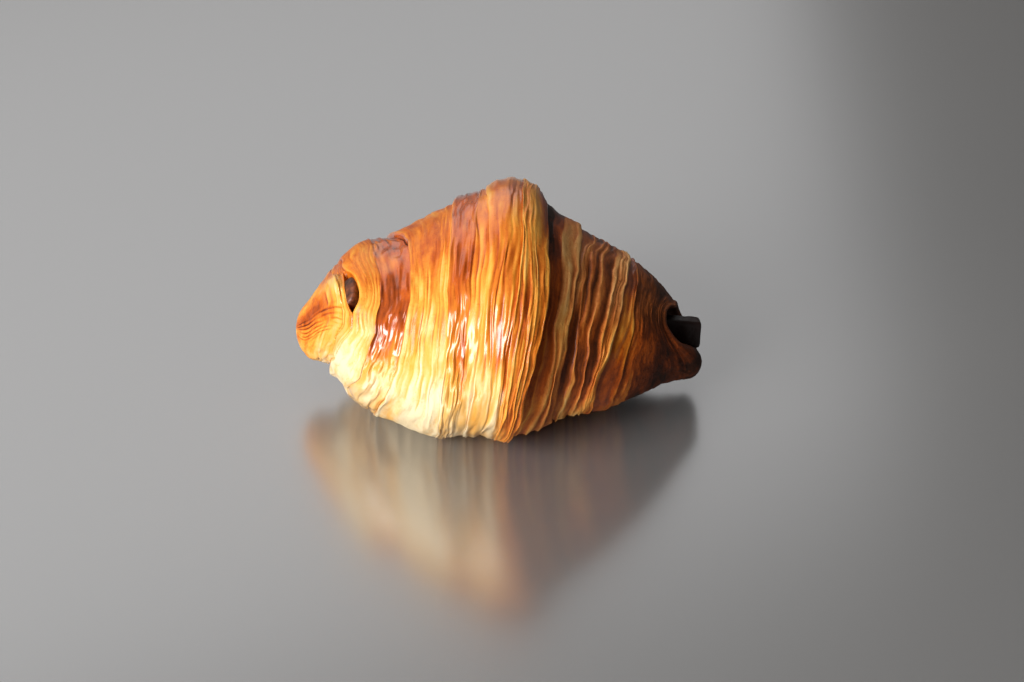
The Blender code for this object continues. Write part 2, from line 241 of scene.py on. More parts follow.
# The mouth at +X is cut slantwise: its lower lip is thick and reaches further than its thin upper one.
MOUTH = (  # turn, how far along X the lip reaches, half its thickness
    (0, 62.8, 3.9), (15, 60.5, 3.0), (30, 55.5, 1.8), (45, 52.0, 1.2), (60, 51.8, 1.1), (90, 55.4, 1.1),
    (120, 56.5, 1.1), (150, 57.5, 1.4), (180, 60.0, 2.0), (225, 63.0, 3.4),
    (270, 64.0, 5.0), (315, 64.0, 5.0),
)
MOUTH_HALF_WIDTH = 4.2  # of the hollow inside it, round the bar
MOUTH_HALF_HEIGHT = 5.8
MOUTH_BOTTOM = 45.0
MOUTH_FROM = 40.0
MOUTH_PULL = 1.3  # power with which the rings turn slantwise towards it
HOLLOW_ROUND = 4  # power with which its bottom rounds off
FUNNEL = 0.6  # share of the hollow's depth over which it narrows to the bar
LIP_RINGS = 10
HOLLOW_RINGS = 14

BAR_LEFT = np.array((-46.2, -13.6, 39.2))  # the middle of each end of the chocolate
BAR_RIGHT = np.array((63.7, 0.5, 19.4))
BAR_WIDTH = 4.5
BAR_HEIGHT = 9.8
BAR_SQUARE = 7  # how square its section is: 2 would be an ellipse
BAR_WEAR = 0.9
BAR_ROUGH = ((0.12, 40, 2.5, 9), (0.06, 41, 0.9, 17))
BAR_END_SIZES = [0.05, 0.35, 0.65]  # of the rings across each end
BEND_LENGTH = 13.0  # of the end that has softened and turned towards the slit
END_SPREAD = 0.5  # how much wider that end has become
END_SQUARE = 2.6
END_BULGE = 0.9
END_LUMPS = ((0.2, 42, 1 / 3, 7),)
SLIT_OUT = np.array((-0.68, -0.30, 0.66))  # the way the slit faces
SLIT_ROUND = np.array((0, 0.91, 0.41))  # its long way, round the roll
SLIT_FILLED_TO = np.array((-46.0, -16.6, 45.8))
# The bar's end in the slit is painted a paler brown as painted light, and less so low down as painted shade.
SLIT_PAINTED_LIGHT = 0.8  # how much paler its colour is painted there, as painted light
SLIT_PAINTED_LIGHT_WAVER = ((0.6, 43, 1.5, 5),)
LESS_PAINTED_LIGHT_BELOW = 0.25
PAINTED_LIGHT_FROM = (0.1, 0.6)
BAR_WEAR_RINGS = 6
BAR_RINGS = 120
BAR_COLUMNS = 64

# Turns of the columns of points: close together in front, far apart underneath.
COLUMN_RUNS = ((-90, 5.0), (-50, 2.5), (-5, 1.2), (62, 2.6), (182, 3.4), (230, 5.0), (270, 0))
LATTICE = 1024

# How baked it is, beside what ZONES says. Some are painted shade, as their comments say. All that are pairs
# are fades.
LOW_TO_FRONT = (-6, 44)
LOW_TO_FRONT_RIGHT = (-16, 26)  # in this part along X:
RIGHT_PART = (-12, -5)
FRONT_TO_ABOVE = (48, 78)
ABOVE_TO_LOW = (150, 205)
BAKE_WAVER = ((8, 32, 7, 12), (5, 33, 1.1, 9))  # in degrees
TIP_FROM = (-50, -56)
TIP_BAKED = 0.44
TIP_PALER = 0.05
TIP_LOW = (30, -10)
# Painted shade in the creases of the fan on the closed tip.
FAN_PAINTED_SHADE = 0.22
BAKED_SPOTS = (  # how much more; along X, half the length, the turn, half the width
    (0.34, -58.5, 5.5, 56, 15),
    (-0.22, SWELL_AT, 3.0, 70, 12),
    (0.10, -31.0, 5.0, 68, 8),
)
BAKE_MOTTLES = ((0.10, 30, 4, 18), (0.05, 31, 1.1, 26), (0.05, 34, 0.6, 70))
RIGHT_MOTTLES = ((0.10, 35, 5, 9),)
RIGHT_FROM = (17, 19)
MOUTH_BAKED = 0.08
MOUTH_BAKED_FROM = (50, 62)
# Painted shade along the top of the ridge's rim, just inside its crease, where it turns away from the light.
RIM_PAINTED_SHADE = 0.45
RIM_SHADE_WITHIN = (3.5, 0)
RIM_SHADE_FROM = (60, 90)
FOOT_PAINTED_SHADE = 0.22  # up a lip, as in STEP: its foot is darker, as painted shade in the crease, and its top paler
FOOT = (0.45, 0.2)
TOP_PALER = 0.10
TOP = (0.6, 0.9)
TOP_REACH = (1.2, 0)
# How much paler the layers' edges and the strands' crests are, and how much darker the grooves between:
# partly the paler cut edges of the dough, partly painted highlight on the crests and painted shade in the
# grooves.
EDGES_PALER_AND_PAINTED_LIGHT = 0.30
EDGES_LESS_PALER_RIGHT = 0.12
EDGES_LESS_PALER_ON_TOP = 0.5
CRESTS_PALER_AND_PAINTED_LIGHT = 0.34

TIP_DULLER = 0.5
SLIT_DULLER = 0.9
SLIT_DULL = (CREASES[0] - 0.5, 1.2, SLIT_TURN, 16)
LESS_DRY = 0.4
LESS_DRY_BELOW = (58, 28)
LEAST_DRY = 0.75  # how much further that goes towards the mouth
LEAST_DRY_FROM = (30, 34)
# Painted shade: the hollow inside the mouth is coloured dark brown.
HOLLOW_PAINTED_SHADE = 0.9
HOLLOW_GLOSSY = 0.2
HOLLOW_DRY = 0.5
LEVEL_BELOW = 1.5  # from this height down the skin bends to the level
LEVEL_ROUND = 0.2  # how softly

# Materials. Scales are counts to the metre, and streaks are counts over the whole skin.
STREAKS_ALONG = 260
STREAKS_ROUND = 36
CRUST_COLOURS = (  # from pale dough to dark brown
    (0.0, (234, 212, 170)),
    (0.2, (228, 176, 98)),
    (0.35, (224, 156, 56)),
    (0.5, (208, 116, 26)),
    (0.65, (174, 76, 8)),
    (0.8, (112, 44, 6)),
    (1.0, (44, 18, 6)),
)
DRY_COLOURS = (
    (0.0, (232, 210, 172)),
    (0.3, (214, 164, 112)),
    (0.5, (186, 124, 76)),
    (0.65, (142, 86, 44)),
    (0.8, (90, 54, 26)),
    (1.0, (42, 24, 12)),
)
CHOCOLATE_COLOURS = ((0.0, (32, 15, 11)), (1.0, (126, 68, 40)))  # as it is, and paler as painted light
GRAIN = 1400.0
PATCHES = 420.0
SPECKS = 1900.0
BLISTERS = 520.0
CHOCOLATE_BLOTCHES = 430.0
CHOCOLATE_GRAIN = 700.0
PASTRY_BUMP = 0.18
CHOCOLATE_BUMP = 0.15

LIGHTS = (
    # name, azimuth from the front to the left, elevation, distance in metres, size, watts, colour,
    # whether it lights matt and glossy surfaces
    ("window", 46, 26, 1.4, (0.8, 0.9), 34, (1.0, 0.98, 0.96), True, True),
    ("wall", 154, 30, 1.3, (1.9, 0.8), 3.2, (0.98, 0.98, 1.0), False, True),
    ("matt_wall", 150, 40, 1.3, (1.3, 0.8), 4, (1.0, 0.96, 0.92), True, False),
    ("ceiling", 60, 75, 1.3, (1.3, 1.3), 4, (1.0, 0.98, 0.96), True, False),
)
SKY_BRIGHTEST = (-0.75, 0.6, 0.15)
FLOOR_SIZE = 6  # metres
FLOOR_GREY = 0.16
CAMERA_AT = (4.2, -520.3, 367.0)
CAMERA_DOWN = 33.5  # degrees
CAMERA_LENS = 70.0


def through(points, x):
    """A smooth curve through (place, value) points, in cubic pieces, read at x."""
    place, value = np.array(points).T
    slope = np.gradient(value, place)
    i = np.clip(np.searchsorted(place, x) - 1, 0, len(place) - 2)
    gap = place[i + 1] - place[i]
    t = np.clip((x - place[i]) / gap, 0, 1)
    start = (1 + 2 * t) * (1 - t) ** 2 * value[i] + t * (1 - t) ** 2 * gap * slope[i]
    end = t * t * (3 - 2 * t) * value[i + 1] - t * t * (1 - t) * gap * slope[i + 1]
    return start + end


def round_the_roll(points, turn):
    """A smooth closed curve through (degrees, value) points, read at turn in radians."""
    points = np.array(points, float)
    points = np.vstack([points[-2:] - [360, 0], points, points[:2] + [360, 0]])
    return through(points, np.degrees(turn) % 360)


def smooth(low, high, x):
    """0 at low and before it, 1 at high and past it, and an easy slope between."""
    t = np.clip((x - low) / (high - low), 0, 1)
    return t * t * (3 - 2 * t)


def between(x, begins, stops):
    """What two fades leave, one where it begins and one where it stops."""
    return smooth(*begins, x) * smooth(*stops, x)


def noise(seed, across, turn, cells):
    """Smooth random values from -1 to 1: new ones at each whole number across, and `cells` times round."""
    lattice = np.random.default_rng(seed).uniform(-1, 1, (LATTICE, cells))
    along = turn / math.tau * cells
    i, j = np.floor(across).astype(int), np.floor(along).astype(int)
    s, t = across - i, along - j
    s, t = s * s * (3 - 2 * s), t * t * (3 - 2 * t)
    i, j, next_i, next_j = i % LATTICE, j % cells, (i + 1) % LATTICE, (j + 1) % cells
    near = lattice[i, j] * (1 - s) + lattice[next_i, j] * s
    far = lattice[i, next_j] * (1 - s) + lattice[next_i, next_j] * s
    return near * (1 - t) + far * t


def noises(table, across, turn):
    """The sum of the noises in a table."""
    return sum(high * noise(seed, across / length, turn, cells) for high, seed, length, cells in table)


def strands(place, turn):
    """Crests that wander, part and meet as they run round the roll: 1 along them, -1 between."""
    across = place / STRAND_SPACING + noises(STRAND_BENDS, place, turn)
    return np.clip(1 - STRAND_STEEPNESS * np.abs(noises(STRANDS, across, turn)), -1, 1)


def spot(x, turn, at, half_length, at_turn, half_turn):
    """A soft round mark on the roll, 1 in its middle."""
    away = (np.degrees(turn) - at_turn) / half_turn
    return np.exp(-(((x - at) / half_length) ** 2) - away**2)


def columns():
    """The turn of each column of points, once round from underneath."""
    turns = []
    for (start, step), (stop, _) in zip(COLUMN_RUNS, COLUMN_RUNS[1:]):
        count = round((stop - start) / step)
        turns.extend(start + (stop - start) * i / count for i in range(count))
    return np.radians(turns)


def body(x):
    """Half width, half height, and the middle's Y and Z, of the smooth body at x."""
    table = np.array(BODY)
    wide, high, middle = (through(table[:, (0, i)], x) for i in (1, 2, 3))
    rounding = np.clip(TIP + TIP_ROUND - x, 0, TIP_ROUND) / TIP_ROUND
    rounding = np.sqrt(1 - rounding**2)
    return wide * rounding, high * rounding, -SAG * (1 - (x / SAG_REACH) ** 2), middle


def bar_middle(x):
    t = (x - BAR_LEFT[0]) / (BAR_RIGHT[0] - BAR_LEFT[0])
    return tuple(BAR_LEFT[i] + t * (BAR_RIGHT[i] - BAR_LEFT[i]) for i in (1, 2))


def mouth_lip(turn):
    """How far along X the mouth's lip reaches at each turn, and half its thickness."""
    return tuple(round_the_roll([(m[0], m[i]) for m in MOUTH], turn) for i in (1, 2))


def hollow(x, turn, size):
    y, z = bar_middle(x)
    wide, high = size * MOUTH_HALF_WIDTH, size * MOUTH_HALF_HEIGHT
    return np.stack([x, y - wide * np.cos(turn), z + high * np.sin(turn)], -1)


class Rings:
    """The rings of the skin from the tip to the mouth, and what belongs to each."""

    def __init__(self):
        self.place = []  # along X at an eighth turn
        self.up = []  # how far up each wrap's lip
        self.zone = []
        self.layer = []
        self.edge = []  # how far the ring stands out on its layer
        self.lines = []  # where the layers' edges are
        layer = 0
        widths = np.random.default_rng(7)
        start = TIP + TIP_ROUND
        for i in range(TIP_RINGS):
            place = TIP + TIP_ROUND * (1 - math.cos(math.pi / 2 * i / TIP_RINGS))
            self.add(place, 0, 0, 0.0)
        for index, (end, layers, count, *_) in enumerate(ZONES):
            parts = widths.uniform(0.5, 1.5, layers).cumsum()
            bounds = start + (end - start) * np.append(0, parts / parts[-1])
            for low, high in zip(bounds, bounds[1:]):
                layer += 1
                self.lines.append((low, high - low))
                for across, edge in self.profile(count, start, index):
                    if across > 0 or low not in CREASES:
                        self.add(low + across * (high - low), index, layer, edge)
            if end in CREASES:
                self.climb(end, index, layer)
            start = end
        self.add(END, len(ZONES) - 1, layer, 0.0)
        for name in ("place", "up", "zone", "layer", "edge"):
            setattr(self, name, np.array(getattr(self, name)))

    def add(self, place, zone, layer, edge, wrap=None, part_way=0.0):
        self.place.append(place)
        self.up.append([part_way if c == wrap else float(c < place) for c in CREASES])
        self.zone.append(zone)
        self.layer.append(layer)
        self.edge.append(edge)

    def profile(self, count, start, index):
        if ZONES[index][3] == 0.0:
            return [(i / count, 0.0) for i in range(count)]
        if start < LAYERS_FACE_RIGHT_FROM:
            profile = EDGE
        else:
            profile = [EDGE[0], *((1 - across, edge) for across, edge in EDGE[:0:-1])]
        places = [i / count for i in range(count)]
        if count == len(EDGE):
            places = [across for across, _ in profile]
        return [
            (a, float(np.interp(a, *zip(*profile, (1.0, EDGE[0][1]))))) for a in places
        ]

    def climb(self, crease, zone, layer):
        """The rings up a wrap's lip, which all start from the crease."""
        count = STEP_RINGS[CREASES.index(crease)]
        for i in range(count + 1):
            self.add(crease, zone, layer, 0.0, crease, i / count)


def of_zone(rings, column):
    """A column of ZONES, at each ring."""
    return np.array([zone[column] for zone in ZONES])[rings.zone][:, None]


def along_x(rings, turn):
    """Where each ring runs along X at each turn, before the lips overhang."""
    marks = np.array([TIP, *CREASES, END])
    runs = [np.full_like(turn, TIP)]
    for k, wrap in enumerate(WRAPS):
        run = round_the_roll(tuple(zip(TURNS, wrap[0])), turn)
        runs.append(run + noises(LIP_WAVER, NEXT * k, turn))
    runs = np.array([*runs, np.full_like(turn, END)])
    places = {mark: run for mark, run in zip(marks, runs)}
    for i, (line, width) in enumerate(rings.lines):
        if line in places:
            continue
        run = np.array([np.interp(line, marks, runs[:, j]) for j in range(len(turn))])
        together = smooth(*FREE_OF_CREASE, np.abs(marks - line).min()) * noises(LAYERS_WAVER, line, turn)
        alone = LINE_WANDER * min(width, WIDEST_WANDER) * noises(LAYER_WAVER, NEXT * i, turn)
        places[line] = run + together + alone
    marks = np.array(sorted(places))
    runs = np.array([places[mark] for mark in marks])
    least = LEAST_GAP * np.arange(len(marks))[:, None]
    runs = np.maximum.accumulate(runs - least, axis=0) + least
    return np.stack([np.interp(rings.place, marks, runs[:, j]) for j in range(len(turn))], 1)


def fan(place, turn):
    """How far each point is in the fan of creases on the closed tip, and how deep in one of them."""
    down = (FAN_TO_TURN - np.degrees(turn)) * (1 + FAN_NARROWED * smooth(*FAN_NARROWS, place))
    where = between(place, *FAN_ALONG) * between(down, *FAN_DOWN)
    down = down + noises(FAN_BENDS, place, turn)
    strength = FAN_STRENGTH + noises(FAN_STRENGTHS, place, turn)
    creases = np.clip(np.cos(down * math.tau / FAN_SPACING), 0, 1) ** FAN_SHARPNESS
    return where, where * strength * creases


def layers_and_crests(rings, turn):
    """How far each point stands out on its layer, and how far on a strand."""
    degrees = np.degrees(turn)
    place = rings.place[:, None]
    stands = np.random.default_rng(8).uniform(*FROM_LAYER_TO_LAYER, rings.layer.max() + 1) ** LAYER_POWER
    strength = LAYER_STRENGTH + noises(LAYER_STRENGTHS, rings.layer[:, None] * 1.0, turn)
    strength = np.clip(strength, 0, STRONGEST) * stands[rings.layer][:, None]
    strength = strength * (UNDERNEATH + (1 - UNDERNEATH) * smooth(*UP_FROM_UNDERNEATH, degrees))
    strength = strength * (1 - fan(place, turn)[0])
    strength = strength * (1 - WORN_ON_RIDGE * smooth(*ON_TOP, degrees) * between(place, *ON_RIDGE))
    sides = smooth(*STRANDS_IN_FRONT, degrees) + smooth(*STRANDS_BEHIND, degrees)
    past_ridge = smooth(*PAST_RIDGE, place)
    stranded = of_zone(rings, STRANDED) * (sides * (1 - past_ridge) + past_ridge)
    return rings.edge[:, None] * strength, strands(place, turn) * stranded


def uneven(rings, turn, x):
    """How far the lumps, crinkles and scallops stand out."""
    place = rings.place[:, None]
    crinkled = of_zone(rings, CRINKLED) + SWELL_CRINKLED * spot(place, turn, *SWELL_CRINKLES)
    bent = place + noises(CRINKLE_BENDS, place, turn)
    crinkles = noises(LONG_CRINKLES, bent, turn) + noises(SHORT_CRINKLES, place, turn)
    scallops = between(np.degrees(turn), *SCALLOPS_AT) * between(place, *SCALLOPS_ALONG)
    return noises(LUMPS, x, turn) + crinkled * crinkles + scallops * noises(SCALLOPS, place, turn)


def with_lips(rings, turn, x, out):
    """X, and how far each point stands out, with the lips of the wraps."""
    for k, (_, way, high, inwards, outwards, share_at) in enumerate(WRAPS):
        there = round_the_roll(tuple(zip(TURNS, share_at)), turn)
        there = there * (1 + noises(LIP_HEIGHTS, NEXT * k, turn))
        t = rings.up[:, k : k + 1]
        climbing = (t > 0) & (t < 1)
        t = 1 - t if way > 0 else t
        share, over, cut = (through([(s[0], s[i]) for s in STEP], t) for i in (1, 2, 3))
        away = np.abs(rings.place[:, None] - CREASES[k])
        fade = np.exp(-away / np.where(share < 0, outwards, inwards))
        steepness = (body(x + 0.5)[0] - body(x - 0.5)[0]) ** 2
        small = np.minimum(there, 1) * min(1, high / FULL_LIP) * climbing / (1 + steepness)
        out = out + share * high * there * fade - cut * small
        if k == RIDGE:
            rim = np.exp(-((away / RIM_WIDTH) ** 2)) * (share - STEP[0][1])
            out = out - RIM_DROP * rim * between(np.degrees(turn), RIM_BEGINS, RIM_STOPS)
        x = x - way * over * small
    return x, out


def slit(rings, turn):
    """How far the slit moves each point along X, and how deep it sinks it."""
    away = rings.place[:, None] - CREASES[0]
    t = rings.up[:, :1]
    upwards = (np.degrees(turn) - SLIT_TURN) / SLIT_SPAN
    wide = np.sqrt(np.clip(1 - upwards**2, 0, 1))
    opened = np.where(away < 0, np.exp(away / SLIT_REACH), np.clip(1 - t / SLIT_OPEN_TO, 0, 1))
    sunk = np.clip(1 - (t / SLIT_SUNK_TO) ** 3, 0, 1)
    sunk = np.where(away < 0, np.exp(-((away / SLIT_EDGE) ** 2)), sunk)
    pushed = np.exp(-np.maximum(away, 0) / SLIT_REACH) * (away >= 0)
    moved = SLIT_PUSH * (1 - opened) * pushed - (SLIT_WIDTH - SLIT_LEAN * upwards) * opened
    return moved * wide**2, SLIT_DEPTH * wide * sunk


def outside(rings, turn):
    """The skin from tip to mouth, as [ring, turn, XYZ], and how much paler its edges and crests are, and
    darker its grooves: partly the dough's own, partly painted highlight and painted shade.
    """
    place = rings.place[:, None]
    reach, half = mouth_lip(turn)
    to_mouth = np.clip((place - MOUTH_FROM) / (END - MOUTH_FROM), 0, 1) ** MOUTH_PULL
    x = along_x(rings, turn) + to_mouth * (reach - half - END)
    layers, crests = layers_and_crests(rings, turn)
    out = layers * of_zone(rings, LAYER_HEIGHT) + crests + uneven(rings, turn, x)
    x, out = with_lips(rings, turn, x, out)
    moved, sunk = slit(rings, turn)
    x = x + moved
    out = out + SWELL * spot(place, turn, *SWELLING)
    wide, high, y, z = body(x)
    out = out * np.clip(np.minimum(wide, high) / THIN, 0, 1)
    out = out - FAN_DEPTH * fan(place, turn)[1] - sunk
    points = np.stack([x, y - (wide + out) * np.cos(turn), z + (high + out) * np.sin(turn)], -1)
    # Paler edges and crests and darker grooves: partly the dough's own, partly painted highlight and painted
    # shade.
    contrast = EDGES_PALER_AND_PAINTED_LIGHT - EDGES_LESS_PALER_RIGHT * smooth(*PAST_RIDGE, place)
    contrast = contrast * (1 - EDGES_LESS_PALER_ON_TOP * smooth(*ON_TOP, np.degrees(turn)))
    return points, contrast * layers + CRESTS_PALER_AND_PAINTED_LIGHT * crests


def with_mouth(skin, turn):
    """The skin, carried round the mouth's lip and into the hollow."""
    reach, half = mouth_lip(turn)
    rim = skin[-1]
    inner = hollow(rim[:, 0], turn, 1.0)
    wall = np.linalg.norm(inner - rim, axis=1)
    inner = rim + (inner - rim) * np.minimum(1, 2 * half / wall)[:, None]
    more = []
    for i in range(1, LIP_RINGS + 1):
        t = math.pi * i / LIP_RINGS
        ring = rim + (inner - rim) * (1 - math.cos(t)) / 2
        ring[:, 0] = rim[:, 0] + half * math.sin(t)
        more.append(ring)
    for i in range(1, HOLLOW_RINGS + 1):
        t = i / HOLLOW_RINGS
        x = inner[:, 0] + (MOUTH_BOTTOM - inner[:, 0]) * t
        narrow = smooth(0, FUNNEL, t)
        ring = hollow(x, turn, math.sqrt(1 - t**HOLLOW_ROUND))
        ring[:, 1:] = inner[:, 1:] + (ring[:, 1:] - inner[:, 1:]) * narrow
        more.append(ring)
    return np.concatenate([skin, np.array(more)])


def unit(vector):
    return vector / np.linalg.norm(vector)


def chocolate(turn):
    """The bar, a box with worn edges whose end at -X has softened into the slit, as [ring, turn, XYZ].

    With it comes how much paler the chocolate is painted at each point: painted light on its end in the slit,
    less of it low down as painted shade.
    """
    length = np.linalg.norm(BAR_RIGHT - BAR_LEFT)
    forward = unit(BAR_RIGHT - BAR_LEFT)
    across = unit(np.cross(UP, forward))
    upward = np.array(UP)
    worn = np.linspace(0, math.pi / 2, BAR_WEAR_RINGS)
    rounding = 1 - (1 - np.sin(worn)) * BAR_WEAR * 2 / BAR_HEIGHT
    size = np.concatenate([BAR_END_SIZES, rounding])
    place = np.concatenate([np.zeros(len(BAR_END_SIZES)), BAR_WEAR * (1 - np.cos(worn))])
    middle = np.linspace(BAR_WEAR, length - BAR_WEAR, BAR_RINGS)[1:-1]
    size = np.concatenate([size, np.ones_like(middle), size[::-1]])[:, None]
    place = np.concatenate([place, middle, length - place[::-1]])[:, None]

    bent = smooth(BEND_LENGTH, 0, place)
    end_across = np.cross(SLIT_ROUND, -SLIT_OUT)
    centre = BAR_LEFT + place * forward
    centre = centre + bent * (SLIT_FILLED_TO + np.minimum(place, BEND_LENGTH) * -SLIT_OUT - centre)
    across = across + bent * (end_across - across)
    upward = upward + bent * (SLIT_ROUND - upward)
    rough = noises(BAR_ROUGH, place, turn)
    power = BAR_SQUARE + (END_SQUARE - BAR_SQUARE) * bent
    corner = (np.abs(np.cos(turn)) ** power + np.abs(np.sin(turn)) ** power) ** (-1 / power)
    wide = (BAR_WIDTH / 2 * (1 + END_SPREAD * bent) + rough) * corner * size
    high = (BAR_HEIGHT / 2 + rough) * corner * size
    bulge = END_BULGE * bent * (1 - size**2) - noises(END_LUMPS, size, turn) * (size < 1)
    points = (
        centre[:, None]
        - (wide * np.cos(turn))[..., None] * across[:, None]
        + (high * np.sin(turn))[..., None] * upward[:, None]
        - bulge[..., None] * forward
    )
    # Painted light on the end in the slit, with less of it below as painted shade.
    chocolate_painted_light = bent * (SLIT_PAINTED_LIGHT + noises(SLIT_PAINTED_LIGHT_WAVER, place, turn))
    chocolate_painted_light = chocolate_painted_light - LESS_PAINTED_LIGHT_BELOW * (points[..., 2] < SLIT_FILLED_TO[2])
    return points, np.clip(chocolate_painted_light, 0, 1) * smooth(*PAINTED_LIGHT_FROM, bent)


def flattened(points):
    """Rested on the surface at Z = 0, with a softly rounded rim round the flat underside."""
    z = points[..., 2]
    points[..., 2] = np.where(z < LEVEL_BELOW, (z + np.sqrt(z * z + LEVEL_ROUND)) / 2, z)
    return points


def closed_mesh(name, points, turn):
    """A mesh of the grid of points, closed round the roll. Its first and last rings become one point each."""
    poles = points[[0, -1]].mean(1)
    count, around = len(points) - 2, points.shape[1]
    verts = np.concatenate([points[1:-1].reshape(-1, 3), poles]) * MM
    i, j = np.meshgrid(np.arange(count - 1), np.arange(around), indexing="ij")
    k = (j + 1) % around
    quads = np.stack([i * around + j, (i + 1) * around + j, (i + 1) * around + k, i * around + k], -1)
    quads = quads.reshape(-1, 4)
    j = np.arange(around)
    k = (j + 1) % around
    last = (count - 1) * around
    first_cap = np.stack([j, k, np.full(around, count * around)], -1)
    last_cap = np.stack([last + k, last + j, np.full(around, count * around + 1)], -1)
    mesh = bpy.data.meshes.new(name)
    mesh.from_pydata(verts.tolist(), [], [*quads.tolist(), *first_cap.tolist(), *last_cap.tolist()])
    mesh.polygons.foreach_set("use_smooth", [True] * len(mesh.polygons))

    lengths = np.linalg.norm(np.diff(points, axis=0), axis=2).mean(1)
    along = np.concatenate([[0], np.cumsum(lengths)])
    along = along / along[-1]
    right_round = np.append(np.diff(turn), turn[0] + math.tau - turn[-1]).cumsum() / math.tau
    around_at = np.concatenate([[0], right_round])
    i, j = np.meshgrid(np.arange(1, count), np.arange(around), indexing="ij")
    near, far = around_at[j], around_at[j + 1]
    corners = [(along[i], near), (along[i + 1], near), (along[i + 1], far), (along[i], far)]
    uv = np.stack([np.stack(c, -1) for c in corners], -2).reshape(-1, 2)
    near, far = around_at[:-1], around_at[1:]
    caps = []
    for pole, ring, first, second in ((0.0, along[1], near, far), (1.0, along[-2], far, near)):
        corners = [(ring, first), (ring, second), (pole, (near + far) / 2)]
        caps.append(np.stack([np.stack([np.full(around, u), v], -1) for u, v in corners], -2).reshape(-1, 2))
    layer = mesh.uv_layers.new(name="OFBake")
    layer.data.foreach_set("uv", np.concatenate([uv, *caps]).ravel())
    return mesh


def give(mesh, name, values):
    """Stores a value with each point of the mesh."""
    values = np.append(values[1:-1].ravel(), [values[0].mean(), values[-1].mean()])
    mesh.attributes.new(name, "FLOAT", "POINT").data.foreach_set("value", values)


def carried_inside(values, inside):
    """Values of the outside, taken on round the lip and changing to `inside` in the hollow."""
    count = LIP_RINGS + HOLLOW_RINGS
    share = smooth(0, 0.5, (np.arange(count) + 1) / count)[:, None]
    return np.concatenate([values, values[-1] * (1 - share) + inside * share])


def baking_and_painted_light(rings, turn, paler):
    """How baked each place of the outside is, from pale dough at 0 to dark brown at 1, with painted shade in
    the lips' and the fan's creases, on the ridge's rim and in some zones, and painted highlight on the
    crests.
    """
    degrees = np.degrees(turn)
    place = rings.place[:, None]
    above, front, below = (of_zone(rings, i) for i in (BAKED_ABOVE, BAKED_FRONT, BAKED_BELOW))
    wavering = degrees + noises(BAKE_WAVER, place, turn)
    right = smooth(*RIGHT_PART, place)
    low, high = (a + (b - a) * right for a, b in zip(LOW_TO_FRONT, LOW_TO_FRONT_RIGHT))
    bake_and_painted_light = below + (front - below) * smooth(low, high, wavering)
    bake_and_painted_light = bake_and_painted_light + (above - front) * smooth(*FRONT_TO_ABOVE, wavering)
    bake_and_painted_light = bake_and_painted_light + (below - above) * smooth(*ABOVE_TO_LOW, wavering)
    tip_baked = TIP_BAKED - TIP_PALER * smooth(*TIP_LOW, degrees)
    bake_and_painted_light = bake_and_painted_light + smooth(*TIP_FROM, place) * (tip_baked - bake_and_painted_light)
    # Painted shade in the fan's creases.
    bake_and_painted_light = bake_and_painted_light + FAN_PAINTED_SHADE * fan(place, turn)[1]
    for more, *where in BAKED_SPOTS:
        bake_and_painted_light = bake_and_painted_light + more * spot(place, turn, *where)
    bake_and_painted_light = bake_and_painted_light + noises(BAKE_MOTTLES, place, turn)
    bake_and_painted_light = bake_and_painted_light + noises(RIGHT_MOTTLES, place, turn) * smooth(*RIGHT_FROM, place)
    bake_and_painted_light = bake_and_painted_light + MOUTH_BAKED * smooth(*MOUTH_BAKED_FROM, place)
    # Painted shade along the top of the ridge's rim.
    from_rim = CREASES[RIDGE] - place
    on_rim = smooth(*RIM_SHADE_WITHIN, from_rim) * (from_rim >= 0)
    bake_and_painted_light = bake_and_painted_light + RIM_PAINTED_SHADE * on_rim * smooth(*RIM_SHADE_FROM, degrees)
    # Painted shade at the foot of each lip, in its crease, and a paler top to the lip.
    for k, (_, way, *_) in enumerate(WRAPS):
        t = rings.up[:, k : k + 1]
        climbing = (t > 0) & (t < 1)
        t = 1 - t if way > 0 else t
        bake_and_painted_light = bake_and_painted_light + climbing * (FOOT_PAINTED_SHADE * smooth(*FOOT, t) - TOP_PALER * smooth(*TOP, t))
        bake_and_painted_light = bake_and_painted_light - (t >= 1) * TOP_PALER * smooth(*TOP_REACH, np.abs(place - CREASES[k]))
    return bake_and_painted_light - paler


def glaze(rings, turn):
    """How glossy and how dry each place of the outside is."""
    place = rings.place[:, None]
    gloss = of_zone(rings, GLOSSY) * (1 - TIP_DULLER * smooth(*TIP_FROM, place))
    gloss = gloss * (1 - SLIT_DULLER * spot(place, turn, *SLIT_DULL))
    less_dry = LESS_DRY * smooth(*LESS_DRY_BELOW, np.degrees(turn))
    less_dry = less_dry * (1 + LEAST_DRY * smooth(*LEAST_DRY_FROM, place))
    return gloss, of_zone(rings, DRY) * (1 - less_dry)


def linear(*rgb):
    """A display colour given as 0 to 255, as the linear colour that a shader takes."""
    parts = (c / 255 for c in rgb)
    return tuple(c / 12.92 if c <= 0.04045 else ((c + 0.055) / 1.055) ** 2.4 for c in parts) + (1.0,)


def new_material(name):
    material = bpy.data.materials.new(name)
    material.use_nodes = True
    return material, material.node_tree.nodes, material.node_tree.links


def noise_node(nodes, links, place, scale, detail, roughness):
    node = nodes.new("ShaderNodeTexNoise")
    node.inputs["Scale"].default_value = scale
    node.inputs["Detail"].default_value = detail
    node.inputs["Roughness"].default_value = roughness
    links.new(place, node.inputs["Vector"])
    return node.outputs["Fac"]


def fill_ramp(node, stops):
    """Sets a colour ramp's stops, each a place from 0 to 1 and a display colour."""
    elements = node.color_ramp.elements
    while len(elements) < len(stops):
        elements.new(0.5)
    for element, (place, colour) in zip(elements, stops):
        element.position = place
        element.color = linear(*colour)


